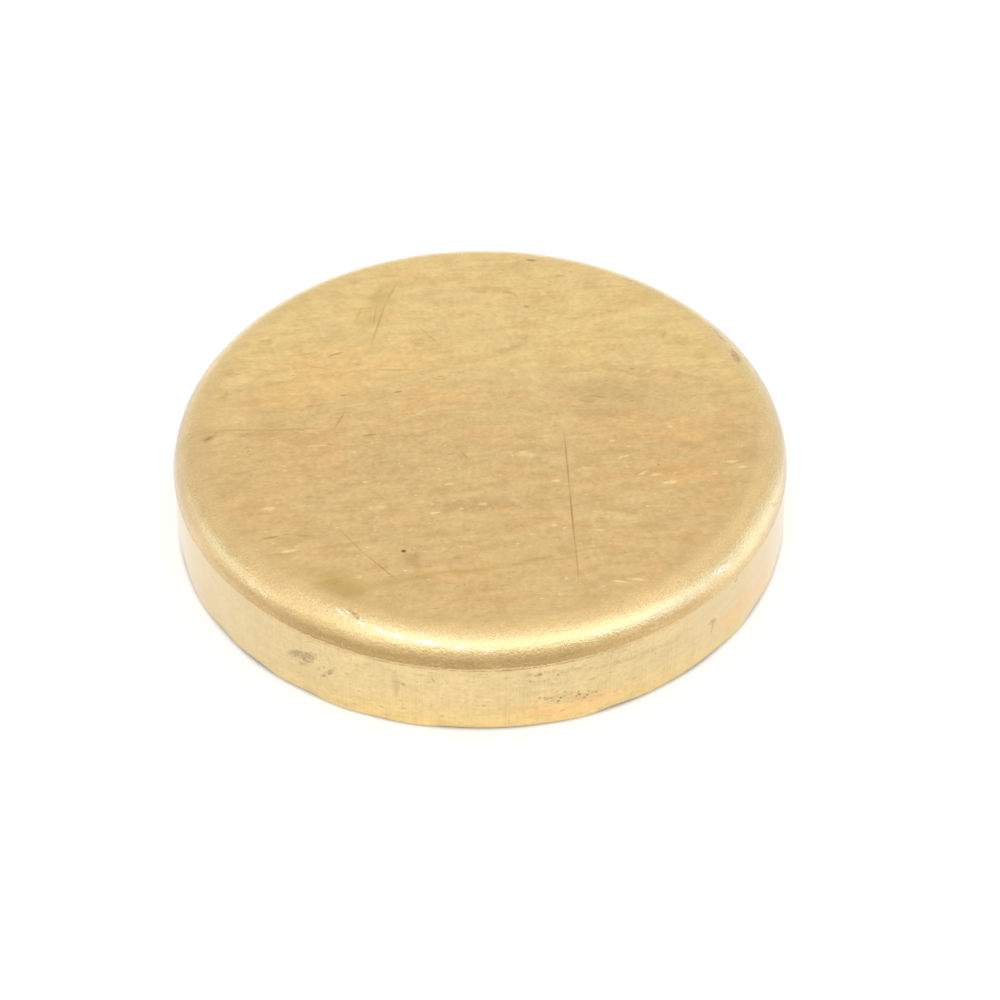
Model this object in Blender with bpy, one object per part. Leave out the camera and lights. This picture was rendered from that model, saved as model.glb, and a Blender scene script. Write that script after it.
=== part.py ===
"""Pressed brass pipe cap: a shallow cup drawn from one disc of sheet, lying mouth down.

The Z axis is the cap's axis. The origin is the centre of the mouth, level with the rim,
and the closed end faces +Z. Lengths are in metres.
"""
import math

import bmesh
import bpy

# Driving dimensions
OUTER_RADIUS = 0.0254  # the burnished wall: 50.8 mm, or 2 inches, across
HEIGHT = 0.0095  # from the rim to the flat closed end
BASE_THICKNESS = 0.00115  # the sheet, as it is in the closed end and the corner
WALL_THICKNESS = 0.0012  # drawing thickens the wall a little, and the die sizes it
INNER_CORNER_RADIUS = 0.0017  # the nose of the drawing punch
LAND_RAMP = 0.0001  # height of the slope where the burnished wall begins
RIM_BREAK = 0.0002  # chamfer on both edges of the trimmed rim

# Facets
TURN_STEPS = 120
OUTER_CORNER_STEPS = 8
INNER_CORNER_STEPS = 5
MERGE_DISTANCE = 0.000001
SHARP_ANGLE = math.radians(35.0)

# Brass
BRASS_COLOUR = (0.76, 0.55, 0.24, 1.0)
BRASS_ROUGHNESS = 0.36


def clear_scene():
    for obj in list(bpy.data.objects):
        bpy.data.objects.remove(obj, do_unlink=True)


def brass_material():
    material = bpy.data.materials.new("brass")
    material.use_nodes = True
    shader = material.node_tree.nodes["Principled BSDF"]
    shader.inputs["Base Color"].default_value = BRASS_COLOUR
    shader.inputs["Metallic"].default_value = 1.0
    shader.inputs["Roughness"].default_value = BRASS_ROUGHNESS
    return material


def quarter_arc(centre_r, centre_z, radius, steps):
    """Points on a corner, from straight above its centre to its outermost point."""
    points = []
    for step in range(steps + 1):
        angle = 0.5 * math.pi * step / steps
        points.append((centre_r + radius * math.sin(angle), centre_z + radius * math.cos(angle)))
    return points


def cap_profile():
    """Half section as (radius, height): down the outside, round the rim and up the inside."""
    inner_radius = OUTER_RADIUS - WALL_THICKNESS
    outer_corner_radius = INNER_CORNER_RADIUS + BASE_THICKNESS
    # Both corner arcs share one centre, so the sheet keeps its thickness round the bend.
    centre_r = inner_radius - INNER_CORNER_RADIUS
    centre_z = HEIGHT - outer_corner_radius

    outside = [(0.0, HEIGHT)]
    outside += quarter_arc(centre_r, centre_z, outer_corner_radius, OUTER_CORNER_STEPS)
    outside.append((OUTER_RADIUS, centre_z - LAND_RAMP))
    outside.append((OUTER_RADIUS, RIM_BREAK))

    rim = [(OUTER_RADIUS - RIM_BREAK, 0.0), (inner_radius + RIM_BREAK, 0.0)]

    inside = [(inner_radius, RIM_BREAK)]
    inside += reversed(quarter_arc(centre_r, centre_z, INNER_CORNER_RADIUS, INNER_CORNER_STEPS))
    inside.append((0.0, HEIGHT - BASE_THICKNESS))
    return outside + rim + inside


def turned_mesh(name, points):
    """Spins a half section once about Z, into one closed smooth-shaded mesh."""
    bm = bmesh.new()
    verts = [bm.verts.new((radius, 0.0, height)) for radius, height in points]
    edges = [bm.edges.new(pair) for pair in zip(verts, verts[1:])]
    bmesh.ops.spin(
        bm,
        geom=verts + edges,
        cent=(0.0, 0.0, 0.0),
        axis=(0.0, 0.0, 1.0),
        angle=math.tau,
        steps=TURN_STEPS,
        use_merge=True,
    )
    bmesh.ops.remove_doubles(bm, verts=bm.verts, dist=MERGE_DISTANCE)
    bmesh.ops.recalc_face_normals(bm, faces=bm.faces)

    mesh = bpy.data.meshes.new(name)
    bm.to_mesh(mesh)
    bm.free()
    mesh.shade_smooth()
    mesh.set_sharp_from_angle(angle=SHARP_ANGLE)
    return mesh


def make_cap_shell():
    cap = bpy.data.objects.new("cap_shell", turned_mesh("cap_shell", cap_profile()))
    bpy.context.scene.collection.objects.link(cap)
    cap.data.materials.append(brass_material())
    return cap


def main():
    clear_scene()
    make_cap_shell()


main()
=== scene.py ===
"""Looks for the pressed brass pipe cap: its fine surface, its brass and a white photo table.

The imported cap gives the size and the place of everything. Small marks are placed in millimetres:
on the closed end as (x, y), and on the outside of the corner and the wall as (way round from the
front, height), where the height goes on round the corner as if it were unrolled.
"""
import math

import bmesh
import bpy
from mathutils import Matrix, Vector, noise


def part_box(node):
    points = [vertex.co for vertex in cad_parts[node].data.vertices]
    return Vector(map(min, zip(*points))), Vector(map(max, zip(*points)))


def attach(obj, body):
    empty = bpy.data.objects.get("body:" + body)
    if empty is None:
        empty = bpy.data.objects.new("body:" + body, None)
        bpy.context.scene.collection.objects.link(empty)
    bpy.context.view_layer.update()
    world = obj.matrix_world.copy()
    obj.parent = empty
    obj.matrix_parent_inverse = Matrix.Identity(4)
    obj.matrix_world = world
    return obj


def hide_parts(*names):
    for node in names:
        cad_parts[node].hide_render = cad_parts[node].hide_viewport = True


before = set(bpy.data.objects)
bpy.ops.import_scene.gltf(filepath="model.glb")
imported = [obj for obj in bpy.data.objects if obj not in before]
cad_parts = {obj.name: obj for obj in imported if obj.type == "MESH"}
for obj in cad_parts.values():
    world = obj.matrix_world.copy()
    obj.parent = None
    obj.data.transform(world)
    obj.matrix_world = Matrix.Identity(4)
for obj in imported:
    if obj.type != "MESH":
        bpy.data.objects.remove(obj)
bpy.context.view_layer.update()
cap_low, cap_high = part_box("cap_shell")

MM = 0.001

# The cap's shape, in metres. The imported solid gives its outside. The sheet and the inner corner are
# the same design as the solid's, and the land's ramp and the rim's edges are a little softer.
OUTER_RADIUS = (cap_high.x - cap_low.x) / 2
HEIGHT = cap_high.z - cap_low.z
BASE_THICKNESS = 1.15 * MM
WALL_THICKNESS = 1.2 * MM
INNER_CORNER_RADIUS = 1.7 * MM
OUTER_CORNER_RADIUS = INNER_CORNER_RADIUS + BASE_THICKNESS
INNER_RADIUS = OUTER_RADIUS - WALL_THICKNESS
END_RADIUS = INNER_RADIUS - INNER_CORNER_RADIUS
LAND_TOP = HEIGHT - OUTER_CORNER_RADIUS
LAND_ANGLE = 5.0  # degrees above level where the corner's curve meets the ramp on to the land
LAND_RAMP = 0.19 * MM
RIM_ROUND = 0.24 * MM

# Mesh density
TURN_STEPS = 768
CORNER_STEPS = 30
INNER_CORNER_STEPS = 10
WALL_STEPS = 20
INNER_WALL_STEPS = 8
RIM_ROUND_STEPS = 4
RIM_FLAT_STEPS = 2
FLAT_STEP = 0.45 * MM
CLOSEST_IN_RING = 0.5 * FLAT_STEP
FEWEST_IN_RING = 16
SHARP_ANGLE = math.radians(28.0)

# Unevenness that pressing and trimming left: depths and the sizes of the lumps, in metres
END_WAVE = (0.010 * MM, 9.0 * MM)
CORNER_LUMPS = ((0.014 * MM, 1.7 * MM), (0.004 * MM, 0.6 * MM))
LAND_WAVE = (0.12 * MM, 2.2 * MM)
WALL_BEND = (0.25 * MM, 4.8 * MM)
RIM_WAVE = (0.28 * MM, 4.0 * MM)
# Where each of these fades out, in metres
END_WAVE_EDGE = 0.9 * END_RADIUS
WALL_BEND_TOP = 0.8 * LAND_TOP
RIM_WAVE_TOP = 1.5 * MM
LAND_WAVE_REACH = 0.5 * MM
LUMPS_INNER_EDGE = (END_RADIUS - 1.0 * MM, END_RADIUS + 0.7 * MM)
LUMPS_LOWER_EDGE = (LAND_TOP, LAND_TOP + 0.4 * MM)
# Nicks as (way round and height in mm, radius in mm, depth in mm)
NICKS = (
    ((-10.9, 9.75), 0.45, 0.03),
    ((-10.2, 9.5), 0.25, 0.03),
    ((31.4, 7.9), 0.45, 0.05),
    ((49.8, 10.3), 0.7, 0.07),
    ((53.5, 9.8), 0.5, 0.05),
    ((64.1, 10.3), 0.5, 0.05),
)


def arc(centre, radius, start, end, steps):
    """Points on an arc as (r, z). Angles are in degrees, 0 along +r and 90 along +z."""
    points = []
    for step in range(steps + 1):
        angle = math.radians(start + (end - start) * step / steps)
        points.append((centre[0] + radius * math.cos(angle), centre[1] + radius * math.sin(angle)))
    return points


def line(start, end, steps):
    """Points from just after start up to and including end."""
    points = []
    for step in range(1, steps + 1):
        share = step / steps
        points.append((start[0] + (end[0] - start[0]) * share, start[1] + (end[1] - start[1]) * share))
    return points


def half_section():
    """The cap's half section from the edge of the closed end, down the outside and up the inside."""
    corner_centre = (END_RADIUS, LAND_TOP)
    points = arc(corner_centre, OUTER_CORNER_RADIUS, 90.0, LAND_ANGLE, CORNER_STEPS)
    points.append((OUTER_RADIUS, points[-1][1] - LAND_RAMP))
    points += line(points[-1], (OUTER_RADIUS, RIM_ROUND), WALL_STEPS)
    points += arc((OUTER_RADIUS - RIM_ROUND, RIM_ROUND), RIM_ROUND, 0.0, -90.0, RIM_ROUND_STEPS)[1:]
    points += line(points[-1], (INNER_RADIUS + RIM_ROUND, 0.0), RIM_FLAT_STEPS)
    points += arc((INNER_RADIUS + RIM_ROUND, RIM_ROUND), RIM_ROUND, -90.0, -180.0, RIM_ROUND_STEPS)[1:]
    points += line(points[-1], (INNER_RADIUS, LAND_TOP), INNER_WALL_STEPS)
    points += arc(corner_centre, INNER_CORNER_RADIUS, 0.0, 90.0, INNER_CORNER_STEPS)[1:]
    return points


def ring(bm, radius, height, count):
    verts = []
    for step in range(count):
        turn = math.tau * step / count
        verts.append(bm.verts.new((radius * math.cos(turn), radius * math.sin(turn), height)))
    return verts


def bridge(bm, inner, outer):
    """Joins two rings. The second has as many points as the first, or twice as many."""
    count = len(inner)
    if len(outer) == count:
        for i in range(count):
            j = (i + 1) % count
            bm.faces.new((inner[i], inner[j], outer[j], outer[i]))
        return
    for i in range(count):
        j = (i + 1) % count
        first, middle, last = outer[2 * i], outer[2 * i + 1], outer[(2 * i + 2) % len(outer)]
        bm.faces.new((inner[i], middle, first))
        bm.faces.new((inner[i], inner[j], middle))
        bm.faces.new((inner[j], last, middle))


def flat_end(bm, edge, radius, height):
    """Fills a ring with a disc whose rings have fewer points towards the middle."""
    outer = edge
    rings = int(radius / FLAT_STEP)
    for index in range(rings - 1, 0, -1):
        inner_radius = radius * index / rings
        count = len(outer)
        if count > FEWEST_IN_RING and inner_radius * math.tau / count < CLOSEST_IN_RING:
            count //= 2
        inner = ring(bm, inner_radius, height, count)
        bridge(bm, inner, outer)
        outer = inner
    centre = bm.verts.new((0.0, 0.0, height))
    for i, vert in enumerate(outer):
        bm.faces.new((centre, vert, outer[(i + 1) % len(outer)]))


def rise(value, low, high):
    """0 up to low, 1 from high, and a smooth slope between."""
    share = min(max((value - low) / (high - low), 0.0), 1.0)
    return share * share * (3.0 - 2.0 * share)


def wave(place, depth_and_size):
    """Smooth noise of that depth, with lumps of that size."""
    depth, size = depth_and_size
    return depth * noise.noise(place / size)


def skin_point(way_round, height):
    """The point on the outside at a way round and an unrolled height, both in millimetres."""
    turn = way_round * MM / OUTER_RADIUS
    tilt = max(0.0, (height * MM - LAND_TOP) / OUTER_CORNER_RADIUS)
    radius = END_RADIUS + OUTER_CORNER_RADIUS * math.cos(tilt)
    level = min(height * MM, LAND_TOP) + OUTER_CORNER_RADIUS * math.sin(tilt)
    return Vector((radius * math.sin(turn), -radius * math.cos(turn), level))


def is_inside(place, radius):
    """Whether a point is on the inside, where the smooth punch left no lumps or nicks."""
    return radius < OUTER_RADIUS - 0.5 * WALL_THICKNESS and place.z < HEIGHT - 0.5 * BASE_THICKNESS


def bend_sheet(vert, place, out):
    """Moves both faces of the sheet alike: the flat end, the wall and the rim."""
    flat = 1.0 - rise(out.length, END_WAVE_EDGE, END_RADIUS)
    vert.co.z += flat * wave(out, END_WAVE)
    if out.length > END_RADIUS:
        low = 1.0 - rise(place.z, 0.0, WALL_BEND_TOP)
        vert.co += out.normalized() * low * wave(out, WALL_BEND)
    edge = 1.0 - rise(place.z, 0.0, RIM_WAVE_TOP)
    vert.co.z += edge * max(0.0, wave(out, RIM_WAVE))


def roughen_outside(vert, place, out, nicks):
    """Waves the line where the burnished wall begins, and gives the corner its lumps and nicks."""
    near_land = 1.0 - rise(abs(place.z - LAND_TOP), 0.0, LAND_WAVE_REACH)
    vert.co.z += near_land * wave(out, LAND_WAVE)
    corner = rise(out.length, *LUMPS_INNER_EDGE) * rise(place.z, *LUMPS_LOWER_EDGE)
    vert.co += vert.normal * corner * sum(wave(place, lumps) for lumps in CORNER_LUMPS)
    for centre, size, depth in nicks:
        vert.co -= vert.normal * depth * (1.0 - rise((place - centre).length, 0.0, size))


def make_uneven(bm):
    """Moves the surface a little, as pressing and handling did."""
    nicks = [(skin_point(*place), radius * MM, depth * MM) for place, radius, depth in NICKS]
    for vert in bm.verts:
        place = vert.co.copy()
        out = Vector((place.x, place.y, 0.0))
        bend_sheet(vert, place, out)
        if not is_inside(place, out.length):
            roughen_outside(vert, place, out, nicks)


def cap_mesh():
    bm = bmesh.new()
    rings = [ring(bm, radius, height, TURN_STEPS) for radius, height in half_section()]
    for upper, lower in zip(rings, rings[1:]):
        bridge(bm, upper, lower)
    flat_end(bm, rings[0], END_RADIUS, HEIGHT)
    flat_end(bm, rings[-1], END_RADIUS, HEIGHT - BASE_THICKNESS)
    bmesh.ops.recalc_face_normals(bm, faces=bm.faces)
    bm.normal_update()
    make_uneven(bm)
    mesh = bpy.data.meshes.new("brass_cap")
    bm.to_mesh(mesh)
    bm.free()
    mesh.shade_smooth()
    mesh.set_sharp_from_angle(angle=SHARP_ANGLE)
    return mesh


# Most of a noise's values lie between these
NOISE_LOW, NOISE_HIGH = 0.25, 0.75


class Graph:
    """Adds nodes to one node tree. An input may be a socket or a constant. Colours go as vectors,
    without conversions between the two, so that Cycles needs few values at a time."""

    def __init__(self, tree):
        self.tree = tree

    def put(self, socket, value):
        if isinstance(value, bpy.types.NodeSocket):
            self.tree.links.new(value, socket)
        else:
            socket.default_value = value

    def add(self, kind, **settings):
        node = self.tree.nodes.new(kind)
        for name, value in settings.items():
            setattr(node, name, value)
        return node

    def maths(self, operation, *values):
        node = self.add("ShaderNodeMath", operation=operation)
        for socket, value in zip(node.inputs, values):
            self.put(socket, value)
        return node.outputs[0]

    def times(self, first, second):
        return self.maths("MULTIPLY", first, second)

    def product(self, first, *others):
        for other in others:
            first = self.times(first, other)
        return first

    def plus(self, first, second):
        return self.maths("ADD", first, second)

    def vector(self, operation, *values):
        node = self.add("ShaderNodeVectorMath", operation=operation)
        for socket, value in zip(node.inputs, values):
            self.put(socket, value)
        return node.outputs["Value"] if operation in ("DOT_PRODUCT", "LENGTH") else node.outputs[0]

    def scaled(self, vector, factor):
        node = self.add("ShaderNodeVectorMath", operation="SCALE")
        self.put(node.inputs[0], vector)
        self.put(node.inputs["Scale"], factor)
        return node.outputs[0]

    def here(self):
        """The point being shaded, in its object's own space."""
        return self.add("ShaderNodeTexCoord").outputs["Object"]

    def split(self, vector):
        node = self.add("ShaderNodeSeparateXYZ")
        self.put(node.inputs[0], vector)
        return node.outputs

    def joined(self, x, y, z=0.0):
        node = self.add("ShaderNodeCombineXYZ")
        for socket, value in zip(node.inputs, (x, y, z)):
            self.put(socket, value)
        return node.outputs[0]

    def rise(self, value, low, high, to_low=0.0, to_high=1.0):
        """to_low up to low, to_high from high, and a smooth slope between."""
        node = self.add("ShaderNodeMapRange", interpolation_type="SMOOTHSTEP")
        for socket, number in zip(node.inputs, (value, low, high, to_low, to_high)):
            self.put(socket, number)
        return node.outputs[0]

    def varied(self, value, to_low, to_high):
        """to_low in a noise's hollows, to_high on its tops."""
        return self.rise(value, NOISE_LOW, NOISE_HIGH, to_low, to_high)

    def noise(self, place, size, detail=2.0, roughness=0.5, output="Fac"):
        """Values about 0.5 with lumps about size across. A size for each axis stretches them."""
        if not isinstance(size, tuple):
            size = (size, size, size)
        node = self.add("ShaderNodeTexNoise")
        shrunk = self.vector("MULTIPLY", place, tuple(1.0 / side for side in size))
        self.put(node.inputs["Vector"], shrunk)
        node.inputs["Scale"].default_value = 1.0
        node.inputs["Detail"].default_value = detail
        node.inputs["Roughness"].default_value = roughness
        return node.outputs[output]

    def specks(self, place, spacing, size, share):
        """Round specks of that size, one in some cells of that spacing."""
        node = self.add("ShaderNodeTexVoronoi", feature="F1")
        self.put(node.inputs["Vector"], self.scaled(place, 1.0 / spacing))
        node.inputs["Scale"].default_value = 1.0
        dots = self.rise(node.outputs["Distance"], 0.5 * size / spacing, 0.2 * size / spacing)
        cell = self.add("ShaderNodeSeparateColor")
        self.put(cell.inputs[0], node.outputs["Color"])
        chosen = self.maths("LESS_THAN", cell.outputs[0], share)
        return self.times(self.times(dots, chosen), self.rise(cell.outputs[1], 0.0, 1.0, 0.4, 1.0))

    def blend(self, share, first, second):
        node = self.add("ShaderNodeMix", data_type="VECTOR")
        self.put(node.inputs["Factor"], share)
        self.put(node.inputs[4], first)
        self.put(node.inputs[5], second)
        return node.outputs[1]

    def tint(self, colour, share, tint):
        """Multiplies a colour by a tint, as far as the share says."""
        return self.vector("MULTIPLY", colour, self.blend(share, (1.0, 1.0, 1.0), tint))


def stroke_group():
    """A node group: a soft mark from one point to another. Where both are the same it is a round spot."""
    tree = bpy.data.node_groups.new("stroke", "ShaderNodeTree")
    for name in ("Place", "Centre", "Along", "Across"):
        tree.interface.new_socket(name, in_out="INPUT", socket_type="NodeSocketVector")
    tree.interface.new_socket("Strength", in_out="INPUT", socket_type="NodeSocketFloat")
    tree.interface.new_socket("Mask", in_out="OUTPUT", socket_type="NodeSocketFloat")
    graph = Graph(tree)
    given = graph.add("NodeGroupInput").outputs
    away = graph.vector("SUBTRACT", given["Place"], given["Centre"])
    along = graph.vector("DOT_PRODUCT", away, given["Along"])
    across = graph.vector("DOT_PRODUCT", away, given["Across"])
    square = graph.plus(graph.times(along, along), graph.times(across, across))
    mask = graph.rise(square, 1.0, 0.1, 0.0, given["Strength"])
    graph.put(graph.add("NodeGroupOutput").inputs["Mask"], mask)
    return tree


def strokes(graph, place, items):
    """The strongest of many soft marks, each (x, y, x, y, width, strength)."""
    group = bpy.data.node_groups.get("stroke") or stroke_group()
    total = None
    for start_x, start_y, end_x, end_y, width, strength in items:
        turn = math.atan2(end_y - start_y, end_x - start_x)
        run, climb = math.cos(turn), math.sin(turn)
        half_length = (math.hypot(end_x - start_x, end_y - start_y) + width) / 2
        half_width = width / 2
        node = graph.add("ShaderNodeGroup", node_tree=group)
        graph.put(node.inputs["Place"], place)
        node.inputs["Centre"].default_value = ((start_x + end_x) / 2, (start_y + end_y) / 2, 0.0)
        node.inputs["Along"].default_value = (run / half_length, climb / half_length, 0.0)
        node.inputs["Across"].default_value = (-climb / half_width, run / half_width, 0.0)
        node.inputs["Strength"].default_value = strength
        mask = node.outputs["Mask"]
        total = mask if total is None else graph.maths("MAXIMUM", total, mask)
    return total


# Marks as (x, y, x, y, width, strength) in mm, from one end to the other. First those on the closed
# end, seen from above with the front at -y
END_SCRATCHES = (
    (6.88, -0.1, 7.2, -8.9, 0.18, 0.8),
    (7.14, -7.0, 7.43, -15.4, 0.2, 0.9),
    (7.4, -13.5, 7.62, -19.4, 0.18, 0.5),
    (-11.6, -11.8, -8.9, -15.7, 0.2, 0.4),
    (-9.57, -14.7, -6.2, -18.7, 0.2, 0.5),
    (-6.9, 19.6, -8.2, 15.7, 0.26, 0.3),
    (-7.9, 16.9, -9.25, 10.2, 0.26, 0.5),
    (-8.75, 16.7, -9.07, 12.9, 0.25, 0.35),
    (-10.1, 15.7, -10.6, 13.6, 0.4, 0.3),
    (-5.6, 13.6, -3.0, 10.0, 0.25, 0.3),
    (-12.8, 9.15, -11.5, 9.65, 0.34, 0.75),
    (-15.6, 9.25, -13.6, 9.65, 0.3, 0.5),
    (-8.9, 7.3, -5.5, 7.2, 0.3, 0.5),
    (-14.6, 7.9, -12.2, 7.3, 0.28, 0.35),
    (-9.7, -1.1, -8.5, -0.95, 0.28, 0.8),
    (-12.05, -0.4, -11.1, 2.2, 0.27, 0.5),
    (-17.3, -13.35, -16.0, -13.1, 0.32, 0.75),
    (-14.7, -13.0, -13.5, -13.1, 0.3, 0.45),
    (15.9, 12.2, 15.6, 10.9, 0.3, 0.35),
    (9.1, 3.75, 10.6, 3.35, 0.28, 0.55),
    (8.2, 3.15, 9.5, 2.75, 0.28, 0.45),
    (-1.6, -3.2, -1.0, -4.0, 0.26, 0.6),
    (-22.0, -0.3, -18.4, -0.2, 0.3, 0.4),
    (-18.0, -0.35, -12.4, -0.1, 0.3, 0.3),
    (-23.2, -6.6, -20.9, -5.9, 0.3, 0.4),
    (-20.6, -5.9, -17.0, -4.7, 0.3, 0.25),
)
END_SMUDGES = (
    (-8.2, 18.1, -8.9, 16.6, 1.8, 0.7),
    (-1.3, 17.7, 1.9, 17.8, 0.8, 0.8),
    (1.5, 17.9, 3.8, 17.1, 0.8, 1.0),
    (3.6, 11.8, 3.5, 10.2, 0.9, 0.8),
    (3.8, 10.7, 1.0, 9.0, 0.9, 0.8),
    (5.5, 7.0, 12.0, 7.4, 0.9, 0.6),
    (9.5, 7.3, 19.5, 5.6, 1.2, 0.8),
    (6.0, 4.4, 18.5, 4.2, 4.4, 0.65),
    (7.0, 1.6, 17.0, 2.6, 3.0, 0.4),
    (14.7, 9.5, 14.7, 9.5, 1.2, 0.4),
    (-5.0, -9.9, 3.6, -9.6, 1.9, 0.6),
    (1.6, -10.0, 3.9, -9.9, 0.5, 0.8),
    (-5.6, -15.7, -5.2, -16.3, 1.2, 0.8),
    (16.3, -14.0, 16.3, -14.0, 2.2, 0.5),
    (-12.2, -18.6, -9.9, -19.1, 2.2, 0.55),
    (-9.9, -16.1, -9.9, -16.1, 1.2, 0.5),
    (-18.1, 11.1, -18.1, 11.1, 1.4, 0.8),
    (-21.2, 7.1, -21.2, 7.1, 1.3, 0.7),
    (-22.8, -1.5, -21.9, -1.0, 1.0, 1.0),
    (-21.4, 4.3, -21.4, 4.3, 1.2, 0.7),
    (-1.0, 21.9, 1.6, 21.9, 0.8, 0.7),
    (-20.0, -0.6, -9.0, -1.6, 1.8, 0.35),
    (-12.0, -4.6, -5.0, -5.4, 2.4, 0.3),
)
END_OLIVE = (
    (-12.2, -18.3, -9.8, -19.3, 3.6, 0.9),
    (-10.6, -18.6, -9.4, -19.2, 2.0, 0.8),
    (-9.9, -18.9, -5.2, -18.05, 1.0, 0.7),
    (-5.9, -18.2, -2.6, -17.35, 0.7, 0.8),
    (-3.3, -17.5, 1.9, -16.85, 0.6, 0.9),
    (1.2, -16.95, 6.2, -15.5, 0.6, 0.9),
    (5.6, -15.7, 10.9, -14.3, 0.45, 0.7),
    (16.9, 11.3, 16.9, 11.3, 1.0, 0.5),
    (-7.4, 19.0, -10.4, 12.6, 2.8, 0.35),
)
END_PITS = (
    (-6.18, -14.95, -6.05, -14.95, 0.42, 1.0),
    (4.0, 15.6, 4.25, 15.55, 0.3, 0.6),
    (12.7, 7.1, 13.0, 7.1, 0.3, 0.35),
    (-11.6, 4.0, -11.2, 4.0, 0.26, 0.4),
    (-7.2, 4.3, -6.5, 4.5, 0.28, 0.5),
    (-22.6, -1.5, -22.1, -1.1, 0.4, 0.5),
    (4.3, 22.1, 5.0, 22.0, 0.45, 0.7),
)
END_ORANGE = (
    (-17.0, 7.0, -11.5, 7.2, 4.2, 0.7),
    (-9.8, 8.9, -4.6, 8.6, 3.4, 0.7),
    (-18.0, 3.6, -9.5, 4.6, 4.6, 0.6),
    (-6.4, 4.0, -1.2, 3.3, 4.4, 0.8),
    (-14.6, -2.6, -10.6, -2.2, 2.8, 0.8),
    (-16.5, -6.6, -11.0, -5.0, 3.6, 0.5),
    (13.0, 0.4, 17.0, -1.2, 4.8, 0.7),
    (13.6, -4.4, 18.6, -7.6, 4.2, 0.7),
    (13.1, -17.8, 14.0, -17.4, 2.4, 0.6),
)
END_BRIGHT = (
    (-0.1, -9.6, 0.45, -9.55, 0.5, 1.0),
    (5.8, -6.9, 6.3, -6.85, 0.42, 0.8),
    (13.8, -6.3, 14.6, -6.2, 0.45, 0.9),
    (14.9, -7.3, 15.8, -7.1, 0.55, 0.9),
    (20.1, -4.8, 20.8, -4.75, 0.5, 1.0),
    (21.0, -5.5, 21.6, -5.45, 0.4, 0.8),
    (15.4, -0.4, 15.9, -0.35, 0.36, 0.8),
    (10.6, -2.0, 11.1, -1.95, 0.3, 0.7),
    (1.2, -6.1, 1.7, -6.05, 0.3, 0.8),
    (5.7, -12.1, 6.1, -12.05, 0.28, 0.8),
    (9.2, -12.8, 9.7, -12.75, 0.3, 0.7),
    (-2.9, -7.2, -2.3, -7.15, 0.45, 0.8),
    (-9.5, -6.8, -8.9, -6.75, 0.34, 0.8),
    (-4.1, -10.6, -3.2, -10.5, 0.34, 0.9),
    (-1.6, -10.1, -1.4, -10.1, 0.32, 1.0),
    (3.2, -3.5, 4.3, -3.6, 1.0, 0.6),
    (7.6, -5.6, 9.4, -5.3, 0.7, 0.6),
    (-17.3, -9.8, -16.5, -9.8, 0.5, 0.6),
    (-8.9, -9.9, -7.6, -9.8, 0.7, 0.6),
    (11.2, -4.15, 12.5, -3.7, 0.32, 0.9),
    (12.8, -6.25, 13.5, -5.75, 0.32, 0.8),
    (-14.2, -2.3, -12.4, -2.25, 0.34, 0.6),
    (-15.8, -15.05, -14.6, -14.65, 0.34, 1.0),
    (10.1, -18.55, 11.6, -18.8, 0.3, 1.0),
    (11.2, -18.3, 13.1, -18.5, 0.3, 1.0),
    (8.8, -10.6, 12.4, -11.6, 1.4, 0.3),
)

# Marks on the outside of the corner and the wall, with way round and height for x and y
SKIN_SMUDGES = (
    (-16.2, 3.6, -14.0, 4.7, 1.3, 1.0),
    (-15.3, 2.9, -13.6, 4.9, 0.6, 0.7),
    (-13.3, 2.8, -11.9, 4.2, 0.5, 0.9),
    (2.6, 5.9, 9.5, 5.7, 0.6, 0.35),
    (7.5, 5.3, 17.7, 4.8, 0.7, 0.35),
    (4.0, 4.9, 6.5, 4.5, 1.0, 0.3),
    (4.6, 3.0, 8.6, 2.4, 1.2, 0.3),
    (-6.9, 5.8, -6.9, 2.6, 0.6, 0.4),
    (-6.7, 4.6, -6.3, 4.4, 0.5, 0.8),
    (-3.9, 5.8, -3.85, 5.0, 0.3, 0.7),
    (20.4, 4.4, 20.4, 2.4, 0.45, 0.6),
    (20.2, 4.0, 20.7, 3.8, 0.8, 0.9),
    (23.2, 6.4, 23.5, 6.3, 0.5, 0.6),
    (-11.4, 10.0, -10.9, 9.85, 0.4, 0.9),
    (-10.9, 9.75, -10.4, 9.5, 0.4, 1.0),
    (31.2, 8.1, 31.7, 7.7, 0.6, 0.6),
    (48.8, 10.4, 50.8, 10.15, 0.9, 1.0),
    (52.0, 10.0, 55.0, 9.75, 0.5, 0.8),
    (63.0, 10.4, 65.2, 10.25, 0.5, 0.8),
)
SKIN_PITS = (
    (0.0, 2.72, 0.2, 2.66, 0.3, 0.4),
    (4.35, 5.72, 4.5, 5.7, 0.38, 0.8),
    (3.6, 5.2, 3.8, 5.15, 0.26, 0.5),
    (4.9, 2.85, 5.1, 2.95, 0.4, 0.5),
)
# Painted highlights: white glints painted into the colour along the corner's bright line
SKIN_PAINTED_GLINTS = (
    (-8.8, 9.24, -7.8, 8.96, 0.42, 0.8),
    (-7.6, 8.98, -6.1, 8.9, 0.40, 0.9),
    (-5.5, 8.86, -3.3, 8.68, 0.38, 0.8),
    (-2.4, 8.6, -1.3, 8.56, 0.34, 0.6),
    (-0.3, 8.5, 0.9, 8.42, 0.32, 0.5),
    (8.8, 8.42, 10.4, 8.33, 0.36, 0.5),
    (21.0, 8.5, 23.2, 8.15, 0.5, 0.5),
    (-21.1, 8.25, -20.2, 8.1, 0.45, 0.4),
    (-19.7, 8.25, -18.8, 8.1, 0.45, 0.4),
    (-12.6, 9.85, -11.4, 9.35, 0.34, 0.7),
    (-12.0, 10.0, -11.2, 9.7, 0.28, 0.6),
    (-10.3, 9.3, -9.7, 9.05, 0.34, 0.8),
    (13.4, 7.35, 15.3, 7.0, 0.30, 0.35),
    (14.0, 7.7, 15.0, 7.5, 0.26, 0.3),
)
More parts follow.
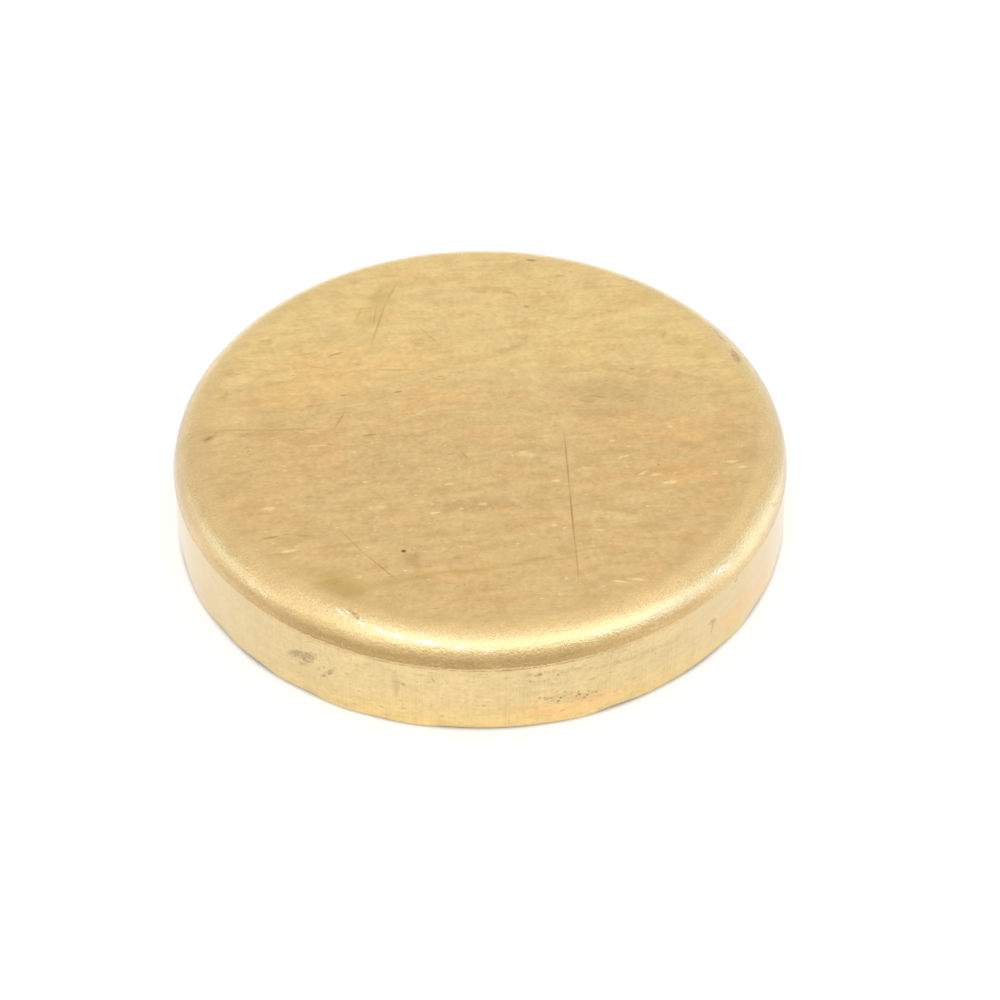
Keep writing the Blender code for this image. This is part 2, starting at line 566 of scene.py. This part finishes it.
SPECKLED = (
    (4.6, 3.1, 9.8, 2.1, 1.7, 1.0),
    (4.2, 3.0, 6.2, 2.8, 1.0, 1.0),
    (-15.9, 3.4, -12.6, 4.0, 1.4, 0.6),
    (3.0, 5.6, 8.5, 5.3, 0.9, 0.6),
)
SKIN_ORANGE = (
    (2.0, 1.8, 12.6, 1.6, 2.6, 0.8),
    (21.0, 2.8, 31.0, 2.2, 3.2, 1.0),
)

# Brass, in linear colour
# A lit and a shaded copy of the sheet's brass, for its painted light and shade
BRASS_LIT_YELLOW = (0.905, 0.664, 0.286)
BRASS_SHADED_BROWN = (0.812, 0.569, 0.25)
WALL_BRASS = (0.812, 0.622, 0.306)
INSIDE_BRASS = (0.74, 0.54, 0.27)
WARM_TINT = (1.025, 0.985, 0.965)
BROWNER_TINT = (1.0, 0.975, 0.945)
ORANGE_TINT = (1.085, 0.96, 0.90)
# Painted light for the band at the rim
PAINTED_RIM_LIGHT_TINT = (1.085, 1.05, 0.925)
# Painted shade: a duller, cooler tone for the left and right sides
PAINTED_SIDE_TINT = (0.94, 0.96, 1.01)
SMUDGE_TINT = (0.84, 0.795, 0.82)
OLIVE_TINT = (0.86, 0.85, 0.62)
SCRATCH_TINT = (0.60, 0.51, 0.37)
PIT_TINT = (0.30, 0.26, 0.24)
BRIGHT_TINT = (1.25, 1.38, 1.48)
GRIME_TINT = (0.56, 0.54, 0.57)
# Painted highlight: the tint that whitens the glints
PAINTED_GLINT_TINT = (1.15, 1.5, 2.5)
COAT_WEIGHT = 0.25
COAT_ROUGHNESS = 0.12
COAT_IOR = 1.5
INSIDE_ROUGHNESS = 0.42
# Relief as the height between a noise's hollows and tops, in mm
END_RELIEF = 0.004
CORNER_RELIEF = 0.042
WALL_RELIEF = 0.0012
INSIDE_RELIEF = 0.008

# Sizes of the noises' lumps, in mm. Those with three numbers are stretched along an axis.
MOTTLE_SIZE = 0.42
BLOTCH_SIZE = 1.7
CLOUD_SIZE = 8.0
DRAW_SIZE = (0.13, 0.13, 7.0)
JITTER_SIZE = 1.6
STREAK_SIZE = (4.5, 1.0, 1.0)
HUE_SIZE = (7.0, 3.0, 1.0)
SHORT_MARK_SIZE = (1.1, 0.22, 1.0)
FLAKE_SIZE = (0.62, 0.36, 1.0)
GRAIN_SIZE = 0.24
FINE_GRAIN_SIZE = 0.13
SCUFF_SIZE = (4.0, 4.0, 0.5)
GRIME_SIZE = (0.75, 0.4, 1.0)
TICK_SIZE = (0.16, 0.7, 1.0)
BREAK_SIZE = (0.3, 0.3, 1.0)
# Random specks as (spacing in mm, size in mm, share of the cells that have one)
DUST = (1.6, 0.30, 0.30)
WALL_SPECKS = (0.36, 0.36, 0.7)
# How far marks stray from their placed outlines, in mm
ORANGE_STRAY = 7.0
SMUDGE_STRAY = 2.5
OLIVE_STRAY = 0.5
SCRATCH_STRAY = 0.04
CHIP_STRAY = 0.35
SKIN_ORANGE_STRAY = 3.0
SKIN_SMUDGE_STRAY = 0.9
SKIN_GLINT_STRAY = 0.3
# The closed end turns from brown to yellow between two places along y, which drift, in mm: painted
# light and shade, darker at the front and lighter at the back, on the sheet's own uneven tone
BROWN_TO = -3.0
YELLOW_FROM = 10.0
YELLOW_DRIFT = 12.0
ROLLING_ANGLE = math.radians(-7.0)
# Where one region passes into the next, in metres, and how ragged the wall's upper edge is, in mm
INSIDE_WALL_EDGE = (INNER_RADIUS + 0.1 * MM, INNER_RADIUS + 0.3 * MM)
INSIDE_TOP_EDGE = (HEIGHT - 0.8 * BASE_THICKNESS, HEIGHT - 0.6 * BASE_THICKNESS)
END_EDGE = (END_RADIUS + 1.7 * MM, END_RADIUS - 0.8 * MM)
WALL_EDGE = (LAND_TOP + 0.30 * MM, LAND_TOP + 0.10 * MM)
WALL_EDGE_RAG = 0.3


def azimuth_of(graph, place):
    """The angle about the cap's axis, 0 at the front and positive to the right."""
    x, y = graph.split(place)[:2]
    return graph.maths("ARCTAN2", x, graph.times(y, -1.0))


class Surface:
    """Places on the cap, as sockets in millimetres, soft masks for its regions and shared noises."""

    def __init__(self, graph):
        self.find_places(graph)
        self.find_noises(graph)
        self.find_regions(graph)

    def find_places(self, graph):
        self.place = graph.scaled(graph.here(), 1.0 / MM)
        self.x, self.y, self.z = graph.split(self.place)
        self.plan = graph.joined(self.x, self.y)
        self.radius = graph.vector("LENGTH", self.plan)
        self.aside = graph.maths("ABSOLUTE", self.x)
        way_round = graph.times(azimuth_of(graph, self.place), OUTER_RADIUS / MM)
        self.skin = graph.joined(way_round, self.unrolled(graph))

    def find_noises(self, graph):
        self.mottle = graph.noise(self.place, MOTTLE_SIZE, detail=3.0, roughness=0.65)
        self.blotch = graph.noise(self.place, BLOTCH_SIZE, detail=3.0, roughness=0.6)
        self.cloud = graph.noise(self.place, CLOUD_SIZE, detail=3.0)
        self.draws = graph.noise(self.place, DRAW_SIZE, detail=2.0, roughness=0.6)
        jitter = graph.add("ShaderNodeSeparateColor")
        graph.put(jitter.inputs[0], graph.noise(self.place, JITTER_SIZE, detail=2.0, output="Color"))
        self.jitter = graph.joined(*(graph.plus(channel, -0.5) for channel in jitter.outputs[:2]))

    def find_regions(self, graph):
        """Masks: the inside, the closed end out to its soft edge, and the wall below its ragged line."""
        outside = self.past(graph, self.radius, INSIDE_WALL_EDGE)
        above = self.past(graph, self.z, INSIDE_TOP_EDGE)
        self.inside = graph.maths("SUBTRACT", 1.0, graph.maths("MAXIMUM", outside, above))
        self.end = self.past(graph, self.radius, END_EDGE)
        ragged = graph.plus(self.z, graph.times(self.mottle, WALL_EDGE_RAG))
        self.wall = self.past(graph, ragged, WALL_EDGE)

    def past(self, graph, value, edge):
        """0 to 1 as a length in millimetres crosses an edge, whose two sides are in metres."""
        return graph.rise(value, edge[0] / MM, edge[1] / MM)

    def unrolled(self, graph):
        """The height up the outside, which goes on round the corner as if it were flat."""
        out = graph.maths("SUBTRACT", self.radius, END_RADIUS / MM)
        up = graph.maths("SUBTRACT", self.z, LAND_TOP / MM)
        tilt = graph.maths("ARCTAN2", graph.maths("MAXIMUM", up, 0.0), out)
        bend = graph.times(tilt, OUTER_CORNER_RADIUS / MM)
        return graph.plus(graph.maths("MINIMUM", self.z, LAND_TOP / MM), bend)

    def moved(self, graph, place, depth):
        """Places moved a little at random, so that the edges of marks aren't perfect."""
        return graph.vector("ADD", place, graph.scaled(self.jitter, depth))

    def metal(self, graph):
        """The sheet's tone, with painted light and shade: yellower and lighter at the back, browner and
        darker in the middle and the front.
        """
        level = graph.plus(self.y, graph.times(graph.plus(self.cloud, -0.5), YELLOW_DRIFT))
        return graph.blend(graph.rise(level, BROWN_TO, YELLOW_FROM), BRASS_SHADED_BROWN, BRASS_LIT_YELLOW)


def rolled_sheet(graph, surface, rolled, streaks):
    """The closed end's colour without its marks: streaked and blotched, with warmer and browner places."""
    shade = graph.product(
        graph.rise(streaks, 0.28, 0.72, 0.94, 1.05),
        graph.rise(surface.mottle, 0.2, 0.8, 0.915, 1.075),
        graph.varied(surface.blotch, 0.955, 1.04),
    )
    # The sheet's tone, with its painted light and shade
    colour = graph.scaled(surface.metal(graph), shade)
    hue = graph.noise(rolled, HUE_SIZE, detail=2.0)
    colour = graph.tint(colour, graph.rise(hue, 0.45, 0.65), WARM_TINT)
    colour = graph.tint(colour, graph.rise(surface.blotch, 0.52, 0.36), BROWNER_TINT)
    return graph.tint(colour, graph.rise(streaks, 0.50, 0.34), BROWNER_TINT)


def with_stains(graph, surface, colour, wisps, broken):
    """Orange stains and grey smudges in wisps, and olive stains."""
    orange = strokes(graph, surface.moved(graph, surface.plan, ORANGE_STRAY), END_ORANGE)
    colour = graph.tint(colour, graph.times(orange, wisps), ORANGE_TINT)
    smudges = strokes(graph, surface.moved(graph, surface.plan, SMUDGE_STRAY), END_SMUDGES)
    colour = graph.tint(colour, graph.times(smudges, wisps), SMUDGE_TINT)
    olive = strokes(graph, surface.moved(graph, surface.plan, OLIVE_STRAY), END_OLIVE)
    return graph.tint(colour, graph.times(olive, broken), OLIVE_TINT)


def with_scratches(graph, surface, colour, rolled, broken):
    """Placed scratches and pits, and short marks and dust at random."""
    lines = surface.moved(graph, surface.plan, SCRATCH_STRAY)
    scratches = strokes(graph, lines, END_SCRATCHES)
    colour = graph.tint(colour, graph.times(scratches, broken), SCRATCH_TINT)
    short_marks = graph.rise(graph.noise(rolled, SHORT_MARK_SIZE, detail=1.0), 0.68, 0.76)
    colour = graph.tint(colour, graph.times(short_marks, 0.45), SCRATCH_TINT)
    dust = graph.specks(surface.plan, *DUST)
    colour = graph.tint(colour, graph.times(dust, 0.6), SCRATCH_TINT)
    return graph.tint(colour, strokes(graph, lines, END_PITS), PIT_TINT)


def with_chips(graph, surface, colour):
    """Bright places: placed chips, and flakes at random, more of them towards the front."""
    ragged = graph.rise(surface.mottle, 0.34, 0.50, 0.70, 1.0)
    flakes = graph.rise(graph.noise(surface.plan, FLAKE_SIZE, detail=1.0), 0.70, 0.77)
    front = graph.rise(surface.y, 4.0, -4.0, 0.1, 0.9)
    chips = strokes(graph, surface.moved(graph, surface.plan, CHIP_STRAY), END_BRIGHT)
    bright = graph.maths("MAXIMUM", graph.times(chips, ragged), graph.times(flakes, front))
    return graph.tint(colour, bright, BRIGHT_TINT)


def end_looks(graph, surface):
    """The closed end: colour, roughness and relief in millimetres."""
    turned = graph.add("ShaderNodeVectorRotate", rotation_type="Z_AXIS")
    graph.put(turned.inputs["Vector"], surface.plan)
    turned.inputs["Angle"].default_value = ROLLING_ANGLE
    rolled = turned.outputs[0]
    streaks = graph.noise(rolled, STREAK_SIZE, detail=3.0, roughness=0.62)
    wisps = graph.rise(streaks, 0.30, 0.60, 0.45, 1.0)
    broken = graph.rise(surface.mottle, 0.34, 0.58, 0.45, 1.0)
    colour = rolled_sheet(graph, surface, rolled, streaks)
    colour = with_stains(graph, surface, colour, wisps, broken)
    colour = with_scratches(graph, surface, colour, rolled, broken)
    colour = with_chips(graph, surface, colour)
    return colour, graph.varied(streaks, 0.30, 0.38), graph.times(surface.mottle, END_RELIEF)


def corner_looks(graph, surface):
    """The corner: stretched metal with a grain like orange peel."""
    grain = graph.noise(surface.place, GRAIN_SIZE, detail=3.0, roughness=0.7)
    fine = graph.noise(surface.place, FINE_GRAIN_SIZE, detail=1.0)
    shade = graph.product(
        graph.varied(grain, 0.925, 1.06),
        graph.varied(fine, 0.93, 1.07),
        graph.varied(surface.blotch, 0.95, 1.04),
    )
    # The sheet's tone brings its painted light and shade on to the corner too
    colour = graph.scaled(surface.metal(graph), shade)
    return colour, graph.varied(grain, 0.12, 0.22), graph.times(grain, CORNER_RELIEF)


def wall_looks(graph, surface):
    """The burnished wall: draw lines up and down, scuffs and grime, and a painted brighter, yellower band
    at the rim, left off on the left side, that stands in for the bright table's reflection.
    """
    scuffs = graph.noise(surface.place, SCUFF_SIZE, detail=3.0, roughness=0.6)
    shade = graph.product(
        graph.varied(surface.draws, 0.955, 1.035),
        graph.varied(surface.mottle, 0.935, 1.045),
        graph.varied(scuffs, 0.945, 1.035),
        graph.varied(surface.blotch, 0.925, 1.045),
    )
    calm = graph.rise(surface.aside, 12.0, 22.0, 0.0, 0.6)
    colour = graph.blend(calm, graph.scaled(WALL_BRASS, shade), WALL_BRASS)
    # Painted light: the rim is made brighter and yellower, as the bright table's reflection there, but not
    # on the left
    rim = graph.rise(graph.plus(surface.z, graph.times(surface.cloud, 3.0)), 5.2, 1.4, 0.0, 0.8)
    colour = graph.tint(colour, graph.times(rim, graph.rise(surface.x, -19.0, -7.0)), PAINTED_RIM_LIGHT_TINT)
    dirty = graph.rise(surface.aside, 8.0, 19.0, 0.4, 0.1)
    grime = graph.rise(graph.noise(surface.skin, GRIME_SIZE, detail=2.0), 0.60, 0.74)
    ticks = graph.rise(graph.noise(surface.skin, TICK_SIZE, detail=1.0), 0.68, 0.76)
    colour = graph.tint(colour, graph.times(graph.maths("MAXIMUM", grime, ticks), dirty), GRIME_TINT)
    return colour, graph.varied(surface.draws, 0.13, 0.22), graph.times(surface.draws, WALL_RELIEF)


def inside_looks(graph, surface):
    """The inside: as the punch left it, duller than the outside."""
    shade = graph.times(graph.varied(surface.draws, 0.93, 1.04), graph.varied(surface.blotch, 0.90, 1.05))
    return graph.scaled(INSIDE_BRASS, shade), INSIDE_ROUGHNESS, graph.times(surface.mottle, INSIDE_RELIEF)


def layered(graph, share, under, over):
    """Blends two sets of (colour, roughness, relief)."""
    colour = graph.blend(share, under[0], over[0])
    numbers = []
    for first, second in zip(under[1:], over[1:]):
        node = graph.add("ShaderNodeMix", data_type="FLOAT")
        graph.put(node.inputs["Factor"], share)
        graph.put(node.inputs[2], first)
        graph.put(node.inputs[3], second)
        numbers.append(node.outputs[0])
    return colour, numbers[0], numbers[1]


def with_skin_marks(graph, surface, looks):
    """Stains, smudges, pits, a painted duller tone at the sides and painted highlights (glints), on the
    outside of the corner and the wall.
    """
    colour, roughness, relief = looks
    # Painted shade: the left and right sides are made duller and cooler
    colour = graph.tint(colour, graph.rise(surface.aside, 9.0, 20.0), PAINTED_SIDE_TINT)
    near = surface.moved(graph, surface.skin, SKIN_SMUDGE_STRAY)
    close = surface.moved(graph, surface.skin, SKIN_GLINT_STRAY)
    orange = strokes(graph, surface.moved(graph, surface.skin, SKIN_ORANGE_STRAY), SKIN_ORANGE)
    colour = graph.tint(colour, orange, ORANGE_TINT)
    broken = graph.rise(graph.noise(surface.skin, BREAK_SIZE, detail=2.0), 0.35, 0.60, 0.3, 1.0)
    colour = graph.tint(colour, graph.times(strokes(graph, near, SKIN_SMUDGES), broken), GRIME_TINT)
    specks = graph.times(graph.specks(surface.skin, *WALL_SPECKS), strokes(graph, near, SPECKLED))
    pits = graph.maths("MAXIMUM", specks, strokes(graph, close, SKIN_PITS))
    colour = graph.tint(colour, graph.times(pits, 0.7), PIT_TINT)
    # Painted highlights along the corner's bright line, broken up by noise
    glints = graph.times(strokes(graph, close, SKIN_PAINTED_GLINTS), broken)
    colour = graph.tint(colour, glints, PAINTED_GLINT_TINT)
    return colour, roughness, relief


def brass_material():
    material = bpy.data.materials.new("brass")
    material.use_nodes = True
    graph = Graph(material.node_tree)
    surface = Surface(graph)
    skin = layered(graph, surface.wall, corner_looks(graph, surface), wall_looks(graph, surface))
    skin = with_skin_marks(graph, surface, skin)
    outside = layered(graph, surface.end, skin, end_looks(graph, surface))
    colour, roughness, relief = layered(graph, surface.inside, outside, inside_looks(graph, surface))
    bump = graph.add("ShaderNodeBump")
    bump.inputs["Strength"].default_value = 1.0
    bump.inputs["Distance"].default_value = MM
    graph.put(bump.inputs["Height"], relief)
    shader = material.node_tree.nodes["Principled BSDF"]
    shader.inputs["Metallic"].default_value = 1.0
    shader.inputs["Coat Weight"].default_value = COAT_WEIGHT
    shader.inputs["Coat Roughness"].default_value = COAT_ROUGHNESS
    shader.inputs["Coat IOR"].default_value = COAT_IOR
    graph.put(shader.inputs["Base Color"], colour)
    graph.put(shader.inputs["Roughness"], roughness)
    graph.put(shader.inputs["Normal"], bump.outputs[0])
    graph.put(shader.inputs["Coat Normal"], bump.outputs[0])
    return material


def make_cap():
    cap = bpy.data.objects.new("brass_cap", cap_mesh())
    bpy.context.scene.collection.objects.link(cap)
    cap.data.materials.append(brass_material())
    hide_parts("cap_shell")
    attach(cap, "root")


# Camera: a long lens five diameters away, looking down at the closed end from the front
CAMERA_ELEVATION = math.radians(41.886)
CAMERA_DISTANCE = 10.0 * OUTER_RADIUS
CAMERA_LENS = 109.5
CAMERA_NEAR, CAMERA_FAR = 0.01, 10.0
AIM_RIGHT = 1.61 * MM
AIM_DOWN = 2.64 * MM
CAMERA_ROLL = math.radians(0.25)


def make_camera():
    back = Vector((0.0, -math.cos(CAMERA_ELEVATION), math.sin(CAMERA_ELEVATION)))
    right = Vector((1.0, 0.0, 0.0))
    up = back.cross(right)
    centre = Vector((0.0, 0.0, HEIGHT / 2))
    place = centre + back * CAMERA_DISTANCE
    look = (centre + right * AIM_RIGHT - up * AIM_DOWN) - place
    data = bpy.data.cameras.new("camera")
    data.lens = CAMERA_LENS
    data.clip_start = CAMERA_NEAR
    data.clip_end = CAMERA_FAR
    camera = bpy.data.objects.new("camera", data)
    turn = look.to_track_quat("-Z", "Y").to_matrix() @ Matrix.Rotation(-CAMERA_ROLL, 3, "Z")
    camera.matrix_world = Matrix.Translation(place) @ turn.to_4x4()
    bpy.context.scene.collection.objects.link(camera)
    bpy.context.scene.camera = camera


# Studio: a white table that glows a little, as a light table does, and cards, soft boxes and a
# strip of light that only reflections see. The brighter ones are cool, which keeps their
# reflections in the brass nearly white.
SKY = 0.85
WHITE = (1.0, 1.0, 1.0)
COOL = (0.55, 1.0, 1.65)
COLD = (0.52, 1.0, 2.05)
HALF_COOL = (0.8, 1.0, 1.35)
NEUTRAL = WHITE
STAGE_ROUGHNESS = 0.9
STAGE_SPECULAR = 0.2
TABLE_HALF = 3.0
TABLE_WHITE = (0.89, 0.89, 0.925)
TABLE_GLOW = 0.36
PAINTED_SHADOW_EDGE = 0.3 * MM
CARD_STEP = 4.0
CARD_LEVEL = 0.6 * MM
# Cards as (first and last azimuth, inner and outer radius). The dark one fades away from its middle.
DARK_CARD = (-76.0, 58.0, 33.0 * MM, 160.0 * MM)
DARK_TONE = (0.71, 0.665, 0.60)
DARK_EDGE_TONE = (1.0, 0.98, 0.95)
DARK_MIDDLE, DARK_FADE_START, DARK_FADE_END = -10.0, 24.0, 58.0
BRIGHT_CARD = (70.0, 106.0, 36.0 * MM, 120.0 * MM)
BRIGHT_GLOW = (0.60, 0.82, 1.1)
SIDE_CARDS = {
    "left_card": (-142.0, -80.0, 27.0 * MM, 82.0 * MM),
    "right_card": (98.0, 150.0, 27.0 * MM, 100.0 * MM),
}
SIDE_CARD_GLOW = (0.10, 0.16, 0.24)
SIDE_CARD_CORE = 0.4  # the middle part of the card that has this glow, as a share of its span
FAR = 0.6
NEAR = 0.1
# Soft boxes as (azimuth, elevation, width and height in degrees, radiance, distance in metres,
# colour). Azimuth 0 is the camera's side and 90 the right.
SOFT_BOXES = {
    "front_box": (5.0, 40.0, 90.0, 38.0, 0.84, FAR, HALF_COOL),
    "top_front_box": (-2.0, 70.0, 80.0, 28.0, 0.32, FAR, HALF_COOL),
    "top_box": (180.0, 82.0, 90.0, 40.0, 0.13, FAR, NEUTRAL),
    "front_corner_box": (43.0, 25.0, 18.0, 20.0, 0.62, FAR, COOL),
    "front_right_box": (66.0, 14.0, 28.0, 32.0, 0.72, FAR, COLD),
    "right_side_box": (100.0, 34.0, 86.0, 48.0, 0.15, FAR, NEUTRAL),
    "right_box": (92.0, 8.0, 32.0, 20.0, 0.53, NEAR, COOL),
    "left_side_box": (-105.0, 36.0, 76.0, 48.0, 0.05, FAR, NEUTRAL),
    "left_box": (-92.0, 10.0, 40.0, 11.0, 0.75, FAR, COOL),
    "front_left_box": (-70.0, 24.0, 36.0, 34.0, 0.32, FAR, NEUTRAL),
}
# The strip's middle line as (azimuth, elevation)
STRIP_LINE = ((-74.0, 64.0), (-58.0, 60.0), (-40.0, 51.0), (-18.0, 41.0), (0.0, 37.0), (12.0, 34.0))
STRIP_WIDTH = math.radians(2.0)
STRIP_GLOW = (2.6, 4.7, 7.7)


def stage_object(name, verts, faces, tone):
    mesh = bpy.data.meshes.new(name)
    mesh.from_pydata(verts, [], faces)
    material = bpy.data.materials.new(name)
    material.use_nodes = True
    shader = material.node_tree.nodes["Principled BSDF"]
    shader.inputs["Base Color"].default_value = (*tone, 1.0)
    shader.inputs["Roughness"].default_value = STAGE_ROUGHNESS
    shader.inputs["Specular IOR Level"].default_value = STAGE_SPECULAR
    mesh.materials.append(material)
    thing = bpy.data.objects.new(name, mesh)
    bpy.context.scene.collection.objects.link(thing)
    return thing


def make_table():
    """The white ground, which doesn't glow under the cap: a painted contact shadow round the rim."""
    half = TABLE_HALF
    verts = [(-half, -half, 0.0), (half, -half, 0.0), (half, half, 0.0), (-half, half, 0.0)]
    table = stage_object("table", verts, [(0, 1, 2, 3)], TABLE_WHITE)
    tree = table.data.materials[0].node_tree
    graph = Graph(tree)
    away = graph.vector("LENGTH", graph.vector("MULTIPLY", graph.here(), (1.0, 1.0, 0.0)))
    # Painted shadow: no glow under the cap, with a soft edge at the rim
    glow = graph.rise(away, OUTER_RADIUS - PAINTED_SHADOW_EDGE, OUTER_RADIUS + PAINTED_SHADOW_EDGE, 0.0, TABLE_GLOW)
    shader = tree.nodes["Principled BSDF"]
    shader.inputs["Emission Color"].default_value = (*WHITE, 1.0)
    graph.put(shader.inputs["Emission Strength"], glow)


def hide_from_camera(thing):
    """Leaves a thing of the studio to reflections only."""
    thing.visible_camera = False
    thing.visible_diffuse = False
    thing.visible_shadow = False


def card_mesh_object(name, place, tone):
    """A fan-shaped card that lies just above the table, from one azimuth to another."""
    start, end, inner, outer = place
    steps = round((end - start) / CARD_STEP)
    verts = []
    for step in range(steps + 1):
        turn = math.radians(start + (end - start) * step / steps)
        for radius in (inner, outer):
            verts.append((radius * math.sin(turn), -radius * math.cos(turn), CARD_LEVEL))
    faces = [(2 * i, 2 * i + 1, 2 * i + 3, 2 * i + 2) for i in range(steps)]
    card = stage_object(name, verts, faces, tone)
    hide_from_camera(card)
    return card


def off_middle(graph, value, middle):
    return graph.maths("ABSOLUTE", graph.plus(value, -middle))


def make_dark_card():
    """The darker ground in front, paler towards both ends."""
    tree = card_mesh_object("dark_card", DARK_CARD, DARK_TONE).data.materials[0].node_tree
    graph = Graph(tree)
    aside = off_middle(graph, azimuth_of(graph, graph.here()), math.radians(DARK_MIDDLE))
    pale = graph.rise(aside, math.radians(DARK_FADE_START), math.radians(DARK_FADE_END))
    colour = graph.blend(pale, DARK_TONE, DARK_EDGE_TONE)
    graph.put(tree.nodes["Principled BSDF"].inputs["Base Color"], colour)


def edge_share(graph, value, low, high):
    """0 in the core of a span, and up to 1 at its ends."""
    half = (high - low) / 2
    return graph.rise(off_middle(graph, value, (low + high) / 2), SIDE_CARD_CORE * half, half)


def make_side_card(name, place):
    """A patch that glows less than the table does, with soft edges."""
    tree = card_mesh_object(name, place, TABLE_WHITE).data.materials[0].node_tree
    graph = Graph(tree)
    first, last, inner, outer = place
    here = graph.here()
    ends = edge_share(graph, azimuth_of(graph, here), math.radians(first), math.radians(last))
    sides = edge_share(graph, graph.vector("LENGTH", here), inner, outer)
    edge = graph.maths("MAXIMUM", ends, sides)
    shader = tree.nodes["Principled BSDF"]
    graph.put(shader.inputs["Emission Color"], graph.blend(edge, SIDE_CARD_GLOW, (TABLE_GLOW,) * 3))
    shader.inputs["Emission Strength"].default_value = 1.0


def make_glow(thing, radiance):
    shader = thing.data.materials[0].node_tree.nodes["Principled BSDF"]
    shader.inputs["Emission Color"].default_value = (*radiance, 1.0)
    shader.inputs["Emission Strength"].default_value = 1.0


def sky_direction(azimuth, elevation):
    turn, lift = math.radians(azimuth), math.radians(elevation)
    return Vector((math.sin(turn) * math.cos(lift), -math.cos(turn) * math.cos(lift), math.sin(lift)))


def make_soft_box(name, azimuth, elevation, width, height, radiance, distance, colour):
    direction = sky_direction(azimuth, elevation)
    data = bpy.data.lights.new(name, "AREA")
    data.shape = "RECTANGLE"
    data.size = 2 * distance * math.tan(math.radians(width / 2))
    data.size_y = 2 * distance * math.tan(math.radians(height / 2))
    data.energy = math.pi * data.size * data.size_y * radiance
    data.color = colour
    box = bpy.data.objects.new(name, data)
    turn_to = direction.to_track_quat("Z", "Y").to_matrix().to_4x4()
    box.matrix_world = Matrix.Translation(direction * distance) @ turn_to
    box.visible_camera = False
    box.visible_diffuse = False
    bpy.context.scene.collection.objects.link(box)


def make_strip():
    """A narrow curved light, such as a tube overhead, whose reflection is the sharp line on the corner."""
    middle = [sky_direction(*place) for place in STRIP_LINE]
    verts = []
    for index, direction in enumerate(middle):
        along = middle[min(index + 1, len(middle) - 1)] - middle[max(index - 1, 0)]
        aside = along.cross(direction).normalized() * math.tan(STRIP_WIDTH / 2)
        verts += [(direction - aside) * FAR, (direction + aside) * FAR]
    faces = [(2 * i, 2 * i + 1, 2 * i + 3, 2 * i + 2) for i in range(len(middle) - 1)]
    strip = stage_object("strip", verts, faces, (0.0, 0.0, 0.0))
    hide_from_camera(strip)
    make_glow(strip, STRIP_GLOW)


def make_studio():
    world = bpy.data.worlds.new("studio")
    world.use_nodes = True
    sky = world.node_tree.nodes["Background"]
    sky.inputs["Color"].default_value = (*WHITE, 1.0)
    sky.inputs["Strength"].default_value = SKY
    bpy.context.scene.world = world
    make_table()
    make_dark_card()
    make_glow(card_mesh_object("bright_card", BRIGHT_CARD, TABLE_WHITE), BRIGHT_GLOW)
    for name, place in SIDE_CARDS.items():
        make_side_card(name, place)
    for name, box in SOFT_BOXES.items():
        make_soft_box(name, *box)
    make_strip()
    bpy.context.scene.view_settings.view_transform = "Standard"


make_camera()
make_cap()
make_studio()
